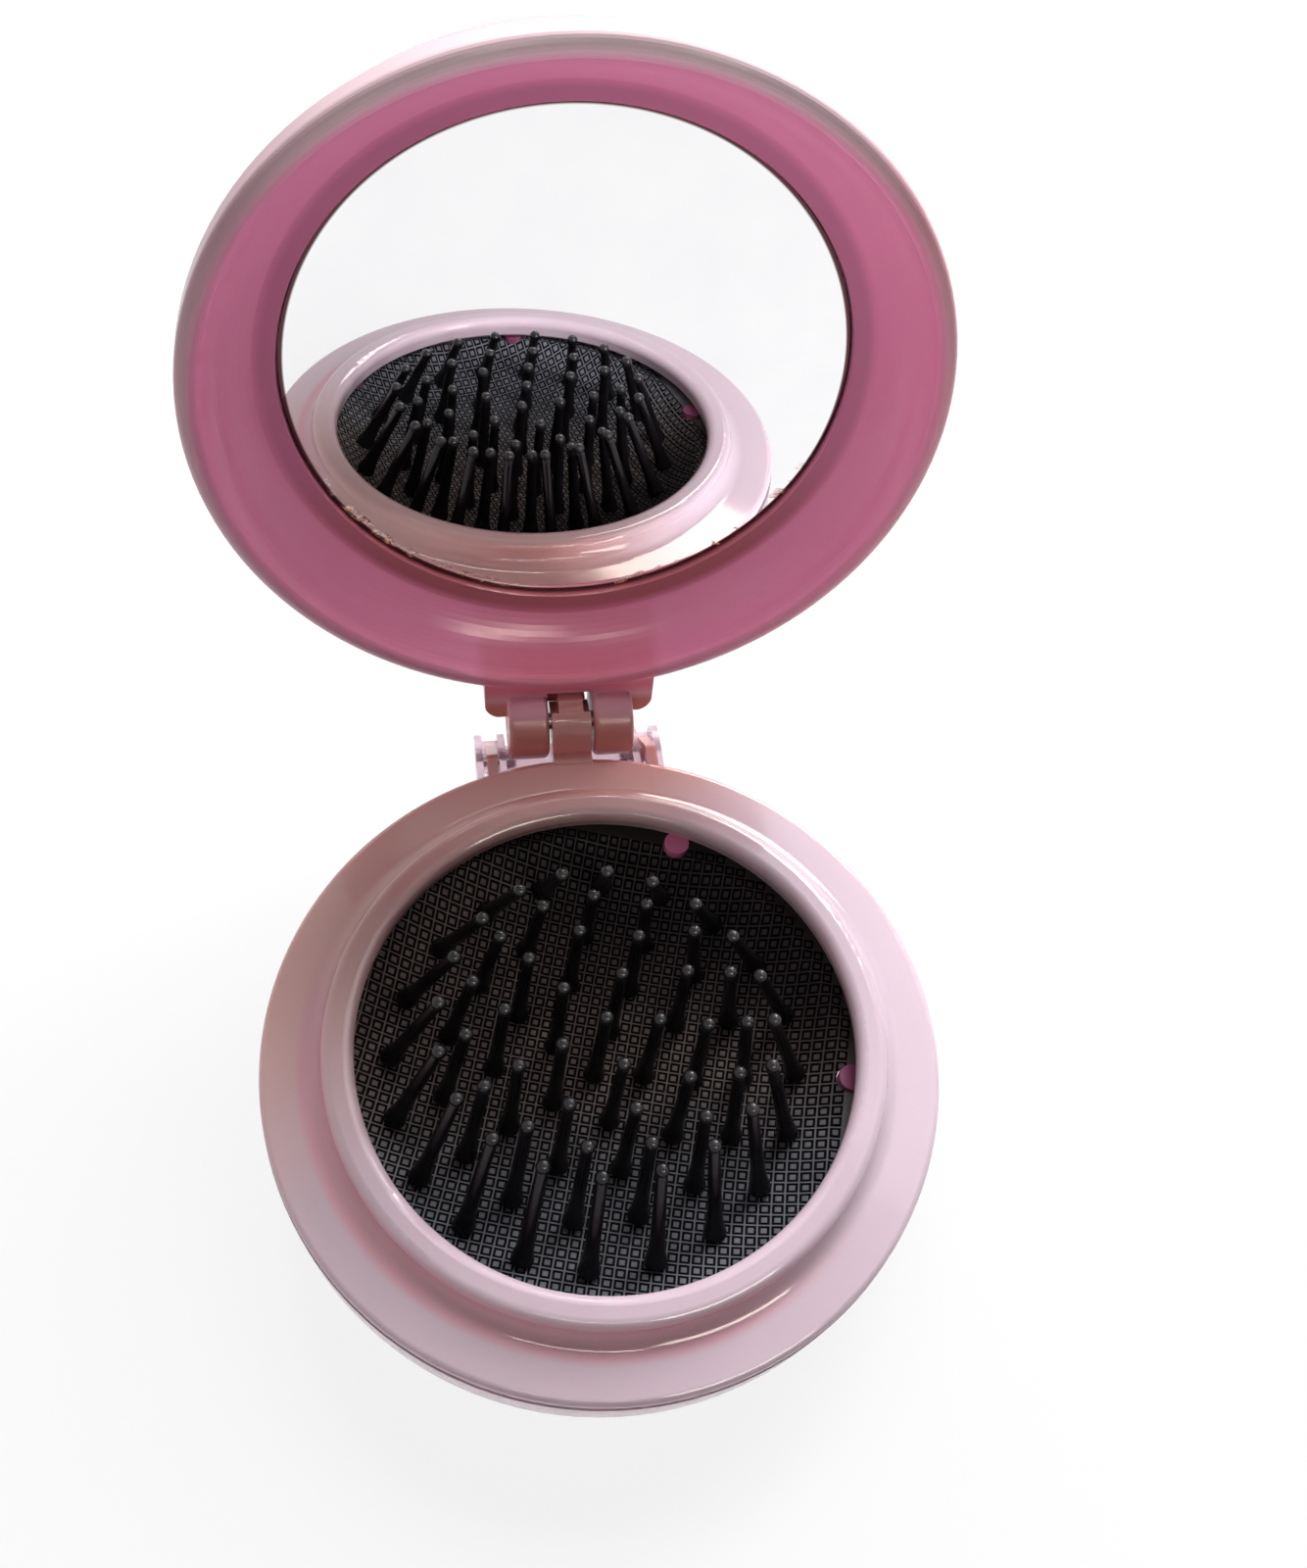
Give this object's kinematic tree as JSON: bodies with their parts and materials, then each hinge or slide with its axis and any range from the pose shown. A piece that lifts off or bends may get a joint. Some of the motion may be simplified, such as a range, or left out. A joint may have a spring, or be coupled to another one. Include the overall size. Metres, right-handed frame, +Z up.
{
  "type": "folding hairbrush with mirror",
  "caption": "Round pocket hairbrush on a dished rubber pad, with a hinged lid that carries a mirror and a hinged bottom cover over the pad's underside.",
  "frame": {"origin": "centre of the flat foot of the bottom cover, on the surface it rests on", "axes": "+Z up through the brush pad, +Y from the pad towards the hinges, +X to the right when facing the mirror from the pad side"},
  "size_m": [0.0664, 0.0896, 0.0837],
  "materials": {
    "cover_plastic": "glossy translucent moulded plastic",
    "frame_plastic": "glossy translucent moulded plastic",
    "lid_plastic": "glossy translucent moulded plastic",
    "mirror_frame_plastic": "glossy translucent moulded plastic",
    "retainer_plastic": "semi-gloss moulded plastic",
    "pad_rubber": "soft rubber with a fine raised grid",
    "bristle_plastic": "semi-gloss moulded plastic",
    "mirror_silver": "silvered glass, worn at the edge",
    "tape_foam": "adhesive disc",
    "pin_steel": "drawn steel wire"
  },
  "bodies": {
    "base": {"bottom_cover": "cover_plastic", "cover_hinge_pins": "pin_steel"},
    "brush": {"brush_frame": "frame_plastic", "pad_retainer": "retainer_plastic", "pad_membrane": "pad_rubber"},
    "pad_centre": {"bristles_centre": "bristle_plastic", "bristles_ring_1": "bristle_plastic", "bristles_ring_2": "bristle_plastic"},
    "pad_ring_3": {"bristles_ring_3": "bristle_plastic"},
    "pad_ring_4": {"bristles_ring_4": "bristle_plastic"},
    "lid": {"lid_shell": "lid_plastic", "mirror_frame": "mirror_frame_plastic", "mirror_tape": "tape_foam", "mirror_glass": "mirror_silver", "lid_hinge_pin": "pin_steel"}
  },
  "joints": [
    {"name": "cover_hinge", "type": "hinge", "parent": "base", "child": "brush", "pos_m": [0, 0.0367, 0.0075], "axis": [-1, 0, 0], "range_deg": [0, 75]},
    {"name": "lid_hinge", "type": "hinge", "parent": "brush", "child": "lid", "pos_m": [0, 0.03765, 0.0133], "axis": [-1, 0, 0], "range_deg": [-95.87, 62]},
    {"name": "pad_press", "type": "slide", "parent": "brush", "child": "pad_centre", "axis": [0, 0, 1], "range_m": [-0.003, 0], "stiffness_N_per_m": 400, "deforming": ["pad_membrane"]},
    {"name": "pad_ring_3_follow", "type": "slide", "parent": "brush", "child": "pad_ring_3", "axis": [0, 0, 1], "range_m": [-0.00283, 0]},
    {"name": "pad_ring_4_follow", "type": "slide", "parent": "brush", "child": "pad_ring_4", "axis": [0, 0, 1], "range_m": [-0.00166, 0]}
  ],
  "couplings": [
    {"joint": "pad_ring_3_follow", "follows": "pad_press", "ratio": 0.9411},
    {"joint": "pad_ring_4_follow", "follows": "pad_press", "ratio": 0.5502}
  ]
}
